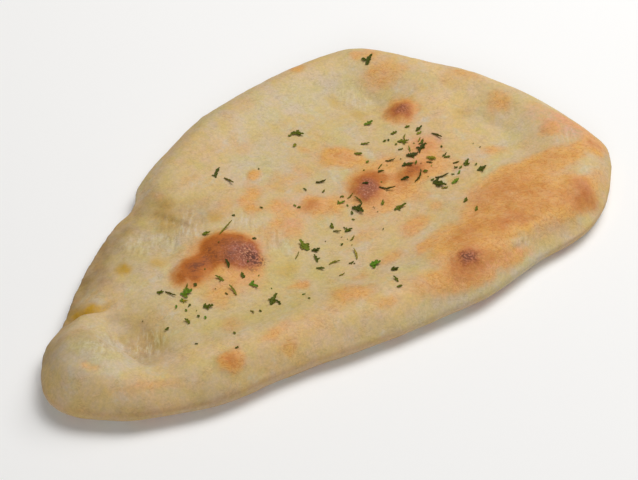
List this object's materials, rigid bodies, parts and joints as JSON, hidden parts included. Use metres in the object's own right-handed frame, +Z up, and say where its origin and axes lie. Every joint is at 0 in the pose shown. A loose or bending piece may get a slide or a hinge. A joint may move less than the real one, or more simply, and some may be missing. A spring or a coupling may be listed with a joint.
{
  "type": "naan bread",
  "caption": "Flat teardrop-shaped bread with a puffed rim, a rolled narrow tip, browned blisters and a scatter of chopped green herbs.",
  "frame": {"origin": "centre of the bread's bounding box, on the flat underside", "axes": "+X along the bread from its narrow rolled tip to its broad end, +Y across it towards the bulging long edge, +Z up out of the browned side"},
  "size_m": [0.28, 0.17, 0.0208],
  "materials": {
    "crust": "pale baked dough, soft and matte, mottled and floury, with orange toasting and dark brown blisters",
    "herb": "chopped fresh coriander leaf, dark green, thin and slightly glossy"
  },
  "bodies": {
    "root": {"naan": "crust"}
  },
  "joints": []
}
